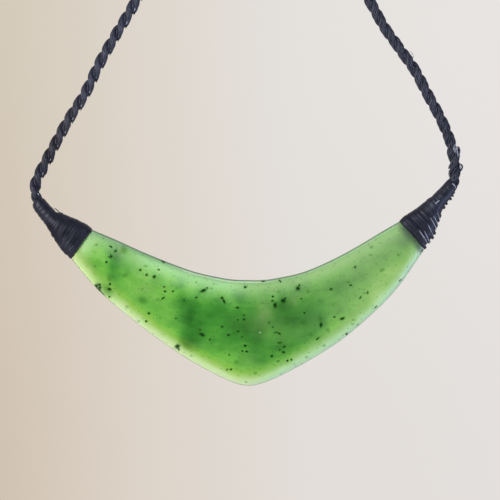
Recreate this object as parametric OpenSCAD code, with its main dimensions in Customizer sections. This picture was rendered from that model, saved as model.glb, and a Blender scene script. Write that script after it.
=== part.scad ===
// A carved jade breastplate on a two-ply twisted cord whose ends are lashed to the jade.
// The front faces -Y and +Z is up. The origin is where the loop hangs, under its clasp.
// Every size is in millimetres. Shapes are laid out in the pendant's own frame, whose zero is
// the lowest point of the jade's upper edge, and are lowered by the hanging height at the end.

/* [Jade] */
// Thickness of the blade at its middle
jade_t = 5; // [4:0.25:6]
// Width of the rounding along the blade's two edges
edge_round = 2.4; // [1.6:0.1:3]

/* [Lashing] */
// Thickness of the wound thread on the wide part
thread_wall = 1.2; // [0.9:0.05:1.3]
// Depth of the groove between two turns
groove = 0.28; // [0.1:0.02:0.35]
// Turns of thread on the wide part
wide_turns = 10; // [8:1:12]
// Turns of thread on the narrow neck
neck_turns = 7; // [5:1:9]
// Outer radius of the neck where it starts
neck_r_start = 2.45; // [2.3:0.05:2.7]
// Outer radius of the neck where the cord comes out
neck_r_end = 2.05; // [1.95:0.05:2.3]

/* [Cord] */
// Length of cord in which a ply goes once round
lead = 9.4; // [8:0.1:12]
// From the cord's middle to the middle of a ply
ply_offset = 0.9; // [0.88:0.01:0.94]
// Half of a ply's thickness, measured outwards from the cord's middle
ply_half_r = 0.74; // [0.64:0.01:0.75]
// Half of a ply's width, measured round the cord
ply_half_w = 1.08; // [0.9:0.01:1.15]
// Size of the cord inside the neck as a share of its full size
neck_grip = 0.7; // [0.6:0.02:0.72]

/* [Clasp] */
// Length of the barrel
clasp_len = 15; // [13:0.5:15]
// Outer diameter of the barrel
clasp_d = 5.8; // [5.4:0.1:6.5]

/* [Hidden] */

// Clearance between two pieces that are wound or pushed together, and around a cord in a bore
fit_gap = 0.12;
bore_gap = 0.18;
// Height of the hanging point above the lowest point of the jade's upper edge
hang_height = 165;
clasp_z = hang_height + clasp_d / 2;
jade_color = [0.45, 0.68, 0.33];
thread_color = [0.10, 0.10, 0.14];
clasp_color = [0.16, 0.16, 0.17];

// Columns of every section table: x and z of the upper edge, x and z of the lower edge, and
// half of the depth. A section is the cross cut that joins those two edge points.
UX = 0;
UZ = 1;
LX = 2;
LZ = 3;
HALF = 4;

// The blade between the two lashings, from left to right.
blade_sections = [
    [-47.2, 15.0, -53.5, 6.2, 0.40 * jade_t],
    [-40.5, 12.2, -46.0, -2.6, 0.44 * jade_t],
    [-33.0, 8.8, -37.5, -10.1, 0.47 * jade_t],
    [-25.5, 5.7, -28.0, -17.4, 0.49 * jade_t],
    [-17.0, 2.6, -18.6, -23.8, 0.50 * jade_t],
    [-8.8, 0.7, -9.6, -28.7, 0.50 * jade_t],
    [-4.2, 0.1, -4.4, -31.0, 0.50 * jade_t],
    [-0.6, 0.0, -0.4, -31.7, 0.50 * jade_t],
    [3.0, 0.0, 3.3, -31.1, 0.50 * jade_t],
    [7.6, 0.5, 8.6, -29.0, 0.50 * jade_t],
    [16.0, 2.4, 17.5, -24.3, 0.50 * jade_t],
    [24.5, 6.0, 27.0, -18.3, 0.49 * jade_t],
    [32.0, 10.0, 36.0, -10.8, 0.47 * jade_t],
    [39.0, 14.2, 44.2, -2.4, 0.44 * jade_t],
    [44.7, 17.5, 52.2, 9.0, 0.40 * jade_t]
];

// The wide part of each lashing, from the jade towards the neck.
left_wrap_sections = [
    [-47.3, 15.1, -53.6, 6.3, 3.20],
    [-50.3, 17.8, -56.0, 8.3, 3.15],
    [-52.9, 19.1, -57.9, 10.9, 3.00],
    [-55.6, 20.2, -59.7, 13.9, 2.75]
];
right_wrap_sections = [
    [44.8, 17.6, 52.3, 9.1, 3.20],
    [47.2, 19.9, 54.5, 11.9, 3.15],
    [49.7, 21.7, 56.0, 14.7, 3.00],
    [52.4, 23.7, 56.9, 17.9, 2.75]
];

// Middle line of each cord as [x, z], from the tongue's tip up to the clasp.
// The upper stretch is the same on both sides, and ends level inside the clasp.
left_route_low = [
    [-57.7, 16.8], [-59.8, 19.1], [-61.9, 21.4], [-63.6, 23.7], [-64.5, 26.6], [-64, 30.2],
    [-62, 34.3], [-58.2, 41.4], [-54.2, 48.6], [-49.5, 56], [-45.2, 65], [-40.2, 73.8], [-34.2, 84]
];
right_route_low = [
    [54.4, 20.2], [56.6, 23.3], [58.9, 26], [60.8, 28.6], [61.5, 31.6], [61.4, 35.4],
    [60.1, 41.4], [57.1, 48.6], [53.2, 55.8], [49.4, 63], [44.3, 70.2], [40.1, 76.2], [35.8, 84]
];
route_high = [
    [28.9, 96], [23.8, 107], [20.2, 118], [17.8, 129], [16.4, 140], [15.8, 150], [15.5, 159.8],
    [14.3, 164], [11.6, 167], [7.7, clasp_z], [5, clasp_z], [2.4, clasp_z]
];
// Angle round each cord at which its first ply starts
left_turn = 0;
right_turn = 46;
// Number of the route point where the neck starts, and of the one where it ends
neck_from = 1;
neck_to = 3;

// Samples in each stretch of a route, rings in each twist, and points round each cross cut
route_steps = 10;
ply_rings = 8;
ply_sides = 8;
wrap_sides = 20;
edge_steps = 4;
blade_steps = 3;
// How far the hidden tongue reaches into its lashing, and the spacing of the rings along the
// tongue and the wall around it, both counted in section rows
tongue_reach = 2.5;
wall_step = 0.5;
// Rings along the neck's bore
bore_rings = 5;
// Length of cord over which the plies open out again beyond the neck
opening_len = 2.6;
// Corner sharpness of the wrap's cross cut beside the jade, where 2 is an ellipse
wrap_power = 3;
// How much thinner the blade's face is beside its edge rounding than at its middle
crown = 0.06;
// Length of route on each side of a place that gives its heading
heading_reach = 0.3;
// Depth of each blind bore in the clasp, and the rounding of its ends
bore_depth = 5.5;
clasp_round = 1.1;
clasp_round_step = 22.5;
clasp_sides = 64;
// How far the cutter of a bore stands out of its mouth
cutter_over = 1;

// One point of the smooth curve that runs through b and c.
function curve(a, b, c, d, t) =
    b + t * ((c - a) / 2 + t * (a - 2.5 * b + 2 * c - d / 2 + t * (1.5 * (b - c) + (d - a) / 2)));

// A table entry, with the ends carried on in a straight line.
function entry(rows, i) =
    i < 0 ? 2 * rows[0] - rows[1]
    : i >= len(rows) ? 2 * rows[len(rows) - 1] - rows[len(rows) - 2]
    : rows[i];

// The table read at any place between its rows.
function smooth_at(rows, p) =
    let (i = min(floor(p), len(rows) - 2))
    curve(entry(rows, i - 1), rows[i], rows[i + 1], entry(rows, i + 2), p - i);

function smooth(rows, steps) =
    [for (k = [0 : (len(rows) - 1) * steps]) smooth_at(rows, k / steps)];

function unit(v) = v / norm(v);
function ease(t) = let (u = max(0, min(1, t))) u * u * (3 - 2 * u);

// A route as two tables against the length along it: [length, x] and [length, z].
function lengths(points, i = 0, sum = 0) =
    i == len(points) ? []
    : let (run = sum + (i == 0 ? 0 : norm(points[i] - points[i - 1])))
        concat([run], lengths(points, i + 1, run));
function measured(points) =
    let (dense = smooth(points, route_steps), runs = lengths(dense))
    [
        [for (i = [0 : len(dense) - 1]) [runs[i], dense[i][0]]],
        [for (i = [0 : len(dense) - 1]) [runs[i], dense[i][1]]],
        runs
    ];
function place(path, s) = [lookup(s, path[0]), lookup(s, path[1])];
function heading(path, s) = unit(place(path, s + heading_reach) - place(path, s - heading_reach));
function across(path, s) = let (h = heading(path, s)) [-h[1], h[0]];
function run_at(path, point) = path[2][point * route_steps];
function whole(path) = path[2][len(path[2]) - 1];

// A flat cross cut through the section's two edge points. The shape is a list of [along, deep]
// pairs from -1 to 1, and inset draws the cut inwards on every side.
function cut(row, shape, inset = 0) =
    let (
        upper = [row[UX], 0, row[UZ]],
        lower = [row[LX], 0, row[LZ]],
        half = norm(upper - lower) / 2
    )
    [
        for (p = shape)
            (upper + lower) / 2 + p[0] * (half - inset) * unit(upper - lower)
            + [0, p[1] * (row[HALF] - inset), 0]
    ];

// The blade's cross cut: flat, slightly crowned faces with rounded edges.
function blade_shape(half) =
    let (
        share = edge_round / half,
        face = [
            for (i = [0 : edge_steps])
                let (a = 90 * i / edge_steps)
                [1 - share * (1 - cos(a)), (1 - crown * (1 - cos(90 * (1 - share)))) * sin(a)]
        ],
        top = concat(face, [[0, 1]], [for (i = [edge_steps : -1 : 0]) [-face[i][0], face[i][1]]])
    )
    concat(top, [for (i = [len(top) - 2 : -1 : 1]) [top[i][0], -top[i][1]]]);

// A rounded box shape, from an ellipse at power 2 to fuller corners above it.
function round_shape(power, sides) =
    [
        for (i = [0 : sides - 1])
            let (a = 360 * i / sides, c = cos(a), s = sin(a))
            [sign(c) * pow(abs(c), 2 / power), sign(s) * pow(abs(s), 2 / power)]
    ];

// The lashing's section at place p, counted in rows: table rows first, then the neck's.
function neck_section(path, side, p) =
    let (
        s = run_at(path, neck_from) + p * (run_at(path, neck_to) - run_at(path, neck_from)),
        r = neck_r_start + p * (neck_r_end - neck_r_start),
        c = place(path, s),
        n = side * r * across(path, s)
    )
    [c[0] + n[0], c[1] + n[1], c[0] - n[0], c[1] - n[1], r];
function wrap_rows(rows, path, side) = concat(rows, [neck_section(path, side, 0)]);

// Places along a lashing: whole numbers up to the neck, and the neck's own share beyond.
function wrap_section(rows, path, side, f) =
    let (all = wrap_rows(rows, path, side), last = len(all) - 1)
    f <= last ? smooth_at(all, f) : neck_section(path, side, f - last);
function wrap_shape(f, last) = round_shape(wrap_power + (2 - wrap_power) * ease(f / last), wrap_sides);

// A closed solid through rings of equally many points. As a pipe, the last ring joins the first.
// Turned swaps its inside and outside, and lean chooses the other diagonal of each cell.
module loft(rings, pipe = false, turned = false, lean = false) {
    n = len(rings[0]);
    m = len(rings);
    spans = pipe ? m : m - 1;
    sides = [
        for (i = [0 : spans - 1], j = [0 : n - 1])
            let (
                a = i * n + j,
                b = i * n + (j + 1) % n,
                c = ((i + 1) % m) * n + (j + 1) % n,
                d = ((i + 1) % m) * n + j
            )
            each lean ? [[a, b, d], [b, c, d]] : [[a, c, d], [a, b, c]]
    ];
    ends = pipe ? [] : [[for (j = [n - 1 : -1 : 0]) j], [for (j = [0 : n - 1]) (m - 1) * n + j]];
    faces = concat(sides, ends);
    polyhedron(
        points = [for (r = rings, p = r) p],
        faces = turned ? [for (f = faces) [for (k = [len(f) - 1 : -1 : 0]) f[k]]] : faces
    );
}

// The rings of a tongue, from its tip inside the lashing to the shoulder where the blade ends.
function tongue_rings(rows, path, side, shoulder) =
    let (
        inside = [for (f = [tongue_reach : -wall_step : 0]) [f, wrap_section(rows, path, side, f)]],
        step = [0, [shoulder[UX], shoulder[UZ], shoulder[LX], shoulder[LZ], rows[0][HALF]]]
    )
    [for (r = concat(inside, [step])) cut(r[1], wrap_shape(r[0], len(rows)), thread_wall + fit_gap)];

module jade_pendant() {
    rows = smooth(blade_sections, blade_steps);
    blade = [
        for (row = rows)
            cut(row, blade_shape(norm([row[UX] - row[LX], row[UZ] - row[LZ]]) / 2))
    ];
    left_tongue = tongue_rings(left_wrap_sections, left_path, -1, rows[0]);
    right_tongue = tongue_rings(right_wrap_sections, right_path, 1, rows[len(rows) - 1]);
    color(jade_color)
        loft(concat(
            left_tongue,
            blade,
            [for (i = [len(right_tongue) - 1 : -1 : 0]) right_tongue[i]]
        ));
}

// Thread wound in even turns: a ring on each crest and in each groove, and a smooth inner wall.
module lashing(rows, path, side) {
    last = len(rows);
    wide = [for (i = [0 : 2 * wide_turns]) [last * i / (2 * wide_turns), i % 2]];
    narrow = [for (i = [1 : 2 * neck_turns]) [last + i / (2 * neck_turns), i % 2]];
    outer = [
        for (w = concat(wide, narrow))
            cut(wrap_section(rows, path, side, w[0]), wrap_shape(w[0], last), w[1] == 1 ? 0 : groove)
    ];
    bore = [for (i = [bore_rings : -1 : 1]) last + i / bore_rings];
    inner = [
        for (f = concat(bore, [for (f = [last : -wall_step : 0]) f]))
            let (
                section = wrap_section(rows, path, side, f),
                neck_wall = section[HALF] - cord_r * neck_grip - bore_gap,
                wall = thread_wall + (neck_wall - thread_wall) * ease(f - last + 1)
            )
            cut(section, wrap_shape(f, last), wall)
    ];
    color(thread_color)
        loft(concat(outer, inner), pipe = true, turned = side < 0);
}

// From the middle of a ply to its edge, at an angle from the line to the cord's middle.
function ply_edge(b) = 1 / norm([cos(b) / ply_half_r, sin(b) / ply_half_w]);

// One ply: an oval strand that winds round the route. Lay is 1 or -1, and start is an angle.
module ply(path, lay, start) {
    mouth = run_at(path, neck_to);
    count = round(whole(path) / lead * ply_rings);
    rings = [
        for (k = [0 : count])
            let (
                s = whole(path) * k / count,
                grip = neck_grip + (1 - neck_grip) * ease((s - mouth) / opening_len),
                a = start + lay * 360 * s / lead,
                n = across(path, s),
                c = place(path, s),
                middle = ply_offset * [cos(a), sin(a)]
            )
            [
                for (i = [0 : ply_sides - 1])
                    let (b = 360 * i / ply_sides, p = grip * (middle + ply_edge(b - a) * [cos(b), sin(b)]))
                    [c[0] + n[0] * p[0], p[1], c[1] + n[1] * p[0]]
            ]
    ];
    color(thread_color)
        loft(rings, lean = lay < 0);
}

// A plain barrel with a blind bore at each end for the cord.
module neck_clasp() {
    r = clasp_d / 2;
    corner = [
        for (a = [0 : clasp_round_step : 90])
            [r - clasp_round, clasp_len / 2 - clasp_round] + clasp_round * [cos(a), sin(a)]
    ];
    profile = concat(
        [[0, -clasp_len / 2]],
        [for (i = [len(corner) - 1 : -1 : 0]) [corner[i][0], -corner[i][1]]],
        corner,
        [[0, clasp_len / 2]]
    );
    color(clasp_color)
        translate([0, 0, clasp_z])
            rotate([0, 90, 0])
                difference() {
                    rotate_extrude($fn = clasp_sides)
                        polygon(profile);
                    for (end = [0, 1])
                        mirror([0, 0, end])
                            translate([0, 0, clasp_len / 2 - bore_depth])
                                cylinder(
                                    r = cord_r + bore_gap, h = bore_depth + cutter_over,
                                    $fn = clasp_sides
                                );
                }
}

cord_r = ply_offset + ply_half_r;
left_path = measured(concat(left_route_low, [for (p = route_high) [-p[0], p[1]]]));
right_path = measured(concat(right_route_low, route_high));

module hung() {
    translate([0, 0, -hang_height])
        children();
}
hung() jade_pendant();
hung() lashing(left_wrap_sections, left_path, -1);  // lashing_left
hung() lashing(right_wrap_sections, right_path, 1);  // lashing_right
hung() ply(left_path, 1, left_turn);  // cord_left_ply_a
hung() ply(left_path, 1, left_turn + 180);  // cord_left_ply_b
hung() ply(right_path, -1, right_turn);  // cord_right_ply_a
hung() ply(right_path, -1, right_turn + 180);  // cord_right_ply_b
hung() neck_clasp();
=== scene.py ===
"""A jade breastplate on a twisted cord, dressed round its fixed CAD frame.

The file is laid out as an add-on: property groups hold the sizes and colours, one operator makes
each group of like pieces, and a panel lists them. In the tables lengths are millimetres, angles are
degrees and colours are sRGB hex codes, unless a comment says otherwise.
"""

import math
import random
from bisect import bisect_right
from functools import partial

import bmesh
import bpy
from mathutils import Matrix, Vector, noise


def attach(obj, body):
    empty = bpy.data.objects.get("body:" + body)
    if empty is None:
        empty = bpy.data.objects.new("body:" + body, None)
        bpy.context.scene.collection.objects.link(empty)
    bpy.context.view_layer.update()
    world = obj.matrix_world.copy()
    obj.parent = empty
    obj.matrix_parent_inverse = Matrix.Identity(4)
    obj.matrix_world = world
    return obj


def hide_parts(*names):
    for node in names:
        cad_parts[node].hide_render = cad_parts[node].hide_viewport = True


bl_info = {
    "name": "Jade Breastplate Necklace",
    "version": (1, 0, 0),
    "blender": (4, 5, 0),
    "location": "View3D > Sidebar > Necklace",
    "description": "Makes the jade, the lashings, the twisted cords and the stage of the necklace",
    "category": "Add Mesh",
}

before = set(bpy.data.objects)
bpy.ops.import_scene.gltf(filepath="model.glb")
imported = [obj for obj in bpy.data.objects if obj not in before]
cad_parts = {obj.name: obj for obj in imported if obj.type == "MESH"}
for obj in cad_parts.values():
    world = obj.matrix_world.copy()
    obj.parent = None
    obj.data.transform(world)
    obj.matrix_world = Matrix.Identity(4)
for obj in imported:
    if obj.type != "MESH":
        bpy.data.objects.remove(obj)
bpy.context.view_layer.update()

MM = 0.001
HANG_HEIGHT = 165.0
BODY = "root"

# The frame's own numbers: a section is its upper x and z, its lower x and z, and its half depth.
BLADE_SECTIONS = [
    (-47.2, 15, -53.5, 6.2, 2), (-40.5, 12.2, -46, -2.6, 2.2), (-33, 8.8, -37.5, -10.1, 2.35),
    (-25.5, 5.7, -28, -17.4, 2.45), (-17, 2.6, -18.6, -23.8, 2.5), (-8.8, .7, -9.6, -28.7, 2.5),
    (-4.2, .1, -4.4, -31, 2.5), (-.6, 0, -.4, -31.7, 2.5), (3, 0, 3.3, -31.1, 2.5), (7.6, .5, 8.6, -29, 2.5),
    (16, 2.4, 17.5, -24.3, 2.5), (24.5, 6, 27, -18.3, 2.45), (32, 10, 36, -10.8, 2.35),
    (39, 14.2, 44.2, -2.4, 2.2), (44.7, 17.5, 52.2, 9, 2),
]
LEFT_WRAP_SECTIONS = [
    (-47.3, 15.1, -53.6, 6.3, 3.2), (-50.3, 17.8, -56, 8.3, 3.15), (-52.9, 19.1, -57.9, 10.9, 3),
    (-55.6, 20.2, -59.7, 13.9, 2.75),
]
RIGHT_WRAP_SECTIONS = [
    (44.8, 17.6, 52.3, 9.1, 3.2), (47.2, 19.9, 54.5, 11.9, 3.15), (49.7, 21.7, 56, 14.7, 3),
    (52.4, 23.7, 56.9, 17.9, 2.75),
]
# The cords' middle lines, x and z. Both go on up the high route, which the left cord takes mirrored.
LEFT_ROUTE_LOW = [
    (-57.7, 16.8), (-59.8, 19.1), (-61.9, 21.4), (-63.6, 23.7), (-64.5, 26.6), (-64, 30.2), (-62, 34.3),
    (-58.2, 41.4), (-54.2, 48.6), (-49.5, 56), (-45.2, 65), (-40.2, 73.8), (-34.2, 84),
]
RIGHT_ROUTE_LOW = [
    (54.4, 20.2), (56.6, 23.3), (58.9, 26), (60.8, 28.6), (61.5, 31.6), (61.4, 35.4), (60.1, 41.4),
    (57.1, 48.6), (53.2, 55.8), (49.4, 63), (44.3, 70.2), (40.1, 76.2), (35.8, 84),
]
ROUTE_HIGH = [
    (28.9, 96), (23.8, 107), (20.2, 118), (17.8, 129), (16.4, 140), (15.8, 150), (15.5, 159.8), (14.3, 164),
    (11.6, 167), (7.7, 167.9), (5, 167.9), (2.4, 167.9),
]
# A lashing's neck runs between these two points of its cord's route.
NECK_FROM, NECK_TO = 1, 3
NECK_R_START, NECK_R_END = 2.45, 2.05
WIDE_WINDS, NECK_WINDS = 15, 8
THREAD_WALL, FIT_GAP = 1.2, 0.12
LEAD, PLY_OFFSET, PLY_HALF_R, NECK_GRIP = 9.4, 0.9, 0.74, 0.7

# Dark mineral grains in the jade: x, z, half length, half width, and the tilt where there is one.
GRAINS = [
    (-41.6, 10, .5, .24, -28), (-40.2, 8.7, .42, .38), (-42, 6.8, .52, .2, -35), (-41.6, 7.2, .66, .22, -80),
    (-41.4, 7, .4, .2, 60), (-42.9, 5.4, .4, .3, 30), (-46, -1.7, .62, .46, 60), (-45.1, -1.4, .6, .42, -10),
    (-45.9, -2.6, .7, .46, -55), (-44.9, -2.3, .62, .44, 80), (-45.2, -3.1, .9, .5, -45),
    (-44.3, -4.1, .8, .34, -45), (-41.9, -1.2, .38, .34), (-42, -2.7, .62, .42, -20), (-42, -5, .34, .3),
    (-32.8, 3, .36, .32), (-30.9, 1.6, .4, .34, 40), (-28.6, 1, .5, .42, 20), (-27.3, 3.1, .32, .26),
    (-26, 5.6, .62, .34, -25), (-25.7, -2, .34, .28), (-25.4, -3.4, .38, .3), (-23, -3.3, .34, .3),
    (-26, -5.4, .6, .24, 35), (-30.2, -9.9, .36, .32), (-31, -12.3, .34, .3), (-22.1, -11.4, .26, .26),
    (-19.7, -6.1, .3, .26), (-16, -5.2, .34, .26), (-13.9, -3.1, 1, .42, 22), (-12.8, -2.3, .3, .22),
    (-8.35, -5.35, .46, .38), (-7.8, -6.3, .9, .27, -62), (-3.7, -8.2, .44, .34), (-1.5, -2.1, .4, .34),
    (-1.8, -10.5, .32, .28), (-1.8, -11.7, .4, .32), (-3.7, -11.9, .28, .24), (-8.3, -13.9, .36, .34),
    (-14.3, -16.3, .85, .58, -20), (-14.9, -14.8, .3, .26), (-6.4, -16.4, .5, .38), (-3.5, -15.3, .38, .3),
    (-2.4, -16.9, .3, .26), (-12, -17.8, .34, .28), (-1.4, -19.6, .44, .38, 40),
    (-2.3, -21.2, .36, .26, -20), (-1, -21.3, .42, .3, 10), (-6.2, -22.3, .28, .26),
    (-6.8, -26.7, .38, .2, 50), (-5.7, -26.7, .38, .28, 10), (-21.7, -19.8, .75, .62, 30),
    (-21.4, -20.6, .5, .3, -60), (9, -.3, .46, .28, -50), (4, -.4, .55, .16), (14.3, -2.5, .62, .56),
    (14.7, -1.6, .5, .24, 50), (6.8, -4.9, .32, .28), (6.7, -6.2, .4, .32), (7.5, -7.5, .85, .52, 84),
    (9.95, -6.15, .74, .7), (10.6, -5.4, .42, .28, 30), (15.3, -5.6, .28, .24), (24.2, -2.7, .42, .36),
    (31.4, 3.9, .34, .3), (30.1, -1.5, .38, .24, -10), (35.2, -3.7, .38, .26, 80), (33, -5.2, .5, .2, 50),
    (44.9, -.1, .5, .18, 45), (37.6, -8.1, .55, .2, 45), (27.6, -11.5, .68, .38, 22), (25.2, -11, .34, .28),
    (21.2, -13.4, .72, .38, 85), (16.3, -9.7, .32, .28), (5.8, -12.7, .26, .2, 80), (6.8, -14, .3, .24),
    (7.6, -15.6, .5, .25, 15), (8.2, -15.6, .5, .22, -10), (8.8, -16, .45, .3, -25), (8.8, -18.7, .55, .26),
    (10.2, -19.9, .5, .34, 35), (10, -21.5, .52, .34, -25), (8.9, -20.9, .32, .26),
    (20.2, -17.5, .6, .22, 45), (28.9, -16.1, .38, .28, 20), (6.5, -22.7, .4, .36),
    (8.4, -24.2, .4, .22, 20), (11.2, -24.1, .34, .28), (12.4, -23.8, .32, .26),
]
# Grains that lie deeper and show as soft smudges, and one tiny pale spot that is a painted glint, in the same
# columns.
SMUDGES = [
    (-45.9, 10.6, .5, .3), (-46.4, 4.2, .4, .3), (-31.2, 4.2, .5, .3), (-31.9, -6, 1.1, .9, -30),
    (-27.6, -5.8, .5, .4), (-36.8, -8, .5, .4), (-33.3, -12.3, .4, .3), (-32.2, -2.7, .3, .3),
    (-21, -8.2, .4, .3), (-11.5, -2.5, .4, .3), (-10.8, -1.1, .4, .2), (-16, -.7, .3, .3),
    (-14.9, -12.8, .7, .5), (-9.6, -15, .4, .4), (-17.5, -22.6, .4, .3), (-4.1, -24.4, .6, .5),
    (-1.2, -30.5, .4, .3), (8.5, -3.5, .4, .3), (3.6, -6.8, .4, .3), (36.1, 7.5, .5, .3),
    (36.3, 9.9, .5, .4), (29.3, -.6, .5, .3), (34.2, -3.9, .5, .3), (21, -11.6, .5, 1),
    (10.7, -12.9, .8, .5), (16, -12.7, .9, .6), (12.5, -19.7, .7, .25), (23.2, -14.9, .6, .5),
    (30.8, -13.2, .5, .2, 30), (32.3, -13.4, .5, .2, 30), (31, -11.9, .5, .2), (3.8, -19.6, .5, .3),
    (1.6, -27.8, .5, .4), (16.9, -23, .5, .3), (22.1, -19.6, .5, .3, 20), (-4.5, -15.8, .6, .5),
    (-37.2, 1.5, .8, .5, 20), (39.5, 3, .7, .4, 30), (17.3, -3.4, .5, .4), (18.1, -16.3, .6, .5),
    (44.4, 7.6, .4, .34), (-42.8, -3, 1.7, 1.1, -50), (-40.5, 6.5, .4, .3), (-39.8, 9.5, .3, .3),
    (-1, -1.9, .4, .3), (-4.6, -8.2, .3, .25), (-31, 4.2, .4, .3), (-45.4, -2.2, 1, .9),
    (-19, -19.4, 1.9, .9, -32), (-42, .4, .5, .9), (-37.8, 9, .9, 1),
]
PAINTED_GLINTS = [(3, -15.6, .22, .18)]
# Soft clouds of darker green (above zero) and paler green (below zero): x, z, the two radii, the
# strength, and the tilt where there is one.
CLOUDS = [
    (-40.6, 3.4, 3.4, 8.4, .34, -8), (-38.5, 8, 4, 5, .36), (-41, -4, 3, 4, .24), (-28, .6, 2.6, 3, .2),
    (-32, -6.3, 2.4, 1.8, .22), (-23.4, -1, 3.2, 2.2, .2), (-33, 0, 13, 7, .1, -22),
    (-27, -9, 8, 6, .1, -35), (-20, -6.3, 3.6, 2.8, .32), (-18.2, -11.6, 4.6, 6.6, .6),
    (-15.6, -16.2, 3.6, 3.4, .3), (-19.2, -19.5, 4.2, 3.2, .56), (-13.5, -3, 4.4, 2.8, .26),
    (-9.2, -6, 3.4, 2.6, .2), (-11, -10, 7, 4.2, .3), (-3, -11.5, 9.5, 5, .22), (-2, -15.6, 6, 5.2, .32),
    (1, -18.8, 5, 4, .22), (3, -24, 7.5, 3.4, .3), (9, -20.4, 4.6, 3.2, .42), (9.5, -7.2, 3.6, 2.6, .46, 10),
    (12.5, -11.4, 9, 4.6, .4, 6), (17, -9, 7, 4.4, .24), (21.2, -12.6, 2.8, 4.6, .3),
    (27, -1.5, 9, 4.8, .22, 25), (14.4, -2.2, 3.2, 2.2, .26), (12, -3, 14, 3.6, .26, 6),
    # The cloud at x 47.6, z 12.6, beside the right lashing, is the lashing's painted shadow.
    (16, -17, 8, 5, .34, 35), (36, 5, 14, 5, .14, 32), (47.6, 12.6, 6.5, 5.5, .55),
    (31, .3, 4.4, 2.8, .16, 20), (39.5, 7.5, 6, 3.2, .14, 30), (0, -14, 26, 12, .3), (-45.5, 8, 5, 6, -.16),
    (-30, 4, 9, 4, -.1, -22), (-22, .8, 9, 4, -.16, -18), (-6, -1.8, 9, 3.4, -.12),
    (39.5, -4.5, 4, 3, -.3, 35), (8, -7, 22, 6, .1), (-8, -18, 5, 3.5, .14), (-11, -18.5, 3.5, 3, .2),
    (-20.8, -.8, 2.6, 2.6, .25), (-3.2, -4.6, 3.4, 3.2, .26), (24, -7.5, 4.5, 2.5, .15),
    (33, -4.5, 2.5, 2.5, .15), (-3, -12, 3, 2.5, -.2), (-15.5, -6.5, 3, 2.2, .12), (-33, -10.5, 3, 3, .14),
    (-48.5, 5.5, 4, 4, .28), (-21, .2, 2.4, 2, .3), (-39, 9.2, 2.6, 2.6, .3), (-46, 12.5, 2.4, 2, -.25),
    (27, -9.5, 3, 2.2, .2, 20), (21, -5.5, 2.5, 2, .12), (38, -6.5, 5, 3, -.2, 38),
    (44, 1.5, 3.4, 4, -.26, 40), (-3, -3.2, 3, 2.4, .2), (3.2, -15.6, 3, 3.4, .22),
    (-45.5, 5, 2.6, 2.6, .16), (8.5, -12.5, 3, 2.4, .12), (9, -17.5, 2.6, 2.2, .12),
    (-37.6, 9.2, 2.2, 2.4, .25), (-36, 3, 1.8, 2.2, .2), (-40, 3, 3, 2, -.12), (29, -5.5, 3.4, 2.6, .2, 30),
    (8.7, -21.8, 2.6, 1.6, -.15), (2, -21, 3.4, 2.2, .15),
]
# In the same columns: milky, greyer patches in the middle of the blade, a painted grey shadow under the
# right lashing's mouth, the stretches of the edges where the painted glow is held back and the jade stays
# green, and one where the painted glow is paler.
MILKY = [
    (3.4, -11.4, 4.2, 6, .42), (3.2, -6.6, 4.2, 3.2, .3), (4.8, -17, 4.2, 4, .12), (14, -15, 10, 9, .3),
    (-24, -12, 8, 5, .2), (-15, -20, 5, 4, .25), (0, -25, 10, 5, .4), (-2, -14, 14, 9, .22),
    (16, -4, 12, 4, .2, 6), (9, -15, 3.4, 9, .2), (-31, -2.5, 11, 7, .5, -30), (12.8, -6.2, 3, 2.6, .4),
    (5, -9, 2.6, 3, .35),
]
SHADED = [(48.9, 13.2, 8, 2.7, 1, -48.6), (51.5, 9.8, 2.6, 2, .8, -48.6), (46.4, 15.2, 3, 2.2, .3, -48)]
GREEN_EDGE = [
    (-43, -2.4, 5, 2.8, .9, -48), (-37.2, 8.6, 2.8, 3, .55), (-31, -12.8, 3.4, 1.8, .3, -36),
    (25.4, -12.6, 4.4, 2.2, .35, 38),
]
LIT_EDGE = [(38.8, -5, 5.4, 2.2, .45, 50)]
# In the same columns: where the wax is rubbed off the lashings, which along the right lashing's mouth
# is also painted shade; painted light on the right lashing's upper side; and where the thread has yellowed.
BARE_AND_SHADE_PATCHES = [
    (-59.8, 15.8, 3, 3, .7), (-62, 21.5, 4, 2.2, .4, -48), (48.4, 13.2, 7.5, 1.1, .9, -48.6),
    (-60, 35.5, 4, 7, .45, -28), (-56, 13.6, 4.2, 5, 1), (-54.4, 14.3, 1.6, .9, .4, 55),
    (-52.8, 11.4, 3, 2.4, .5, 55), (-51.4, 13.2, 2.8, 3.4, .45), (50, 15.8, 4.6, 2.8, .4, -48),
    (47, 17, 2.6, 2.6, .3),
]
PAINTED_LIGHT_PATCHES = [(54.6, 22.6, 3.6, 1.9, .3, 45)]
YELLOWED = [(-56, 44, 14, 17, 1, 25)]


def linear(code):
    """An sRGB hex colour as the linear red, green, blue and alpha that a shader takes."""
    parts = [int(code[i:i + 2], 16) / 255 for i in (0, 2, 4)]
    return tuple(c / 12.92 if c <= 0.04045 else ((c + 0.055) / 1.055) ** 2.4 for c in parts) + (1.0,)


def clamp01(t):
    return max(0.0, min(1.0, t))


def ease(t):
    u = clamp01(t)
    return u * u * (3 - 2 * u)


def bell(off, span):
    """A soft bump: one at its middle, and nearly nothing at twice its span."""
    return math.exp(-(off / span) ** 2)


def curve_at(a, b, c, d, t):
    """One point of the smooth curve that runs through b and c."""
    return b + t * ((c - a) / 2 + t * (a - 2.5 * b + 2 * c - d / 2 + t * (1.5 * (b - c) + (d - a) / 2)))


def entry(rows, i):
    """A row of the table, or one in line with its end rows beyond them."""
    if i < 0:
        return 2 * rows[0] - rows[1]
    if i >= len(rows):
        return 2 * rows[-1] - rows[-2]
    return rows[i]


def smooth_at(rows, p):
    """A table of vectors, read at any place between its rows."""
    i = min(int(p), len(rows) - 2)
    return curve_at(entry(rows, i - 1), rows[i], rows[i + 1], entry(rows, i + 2), p - i)


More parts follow.
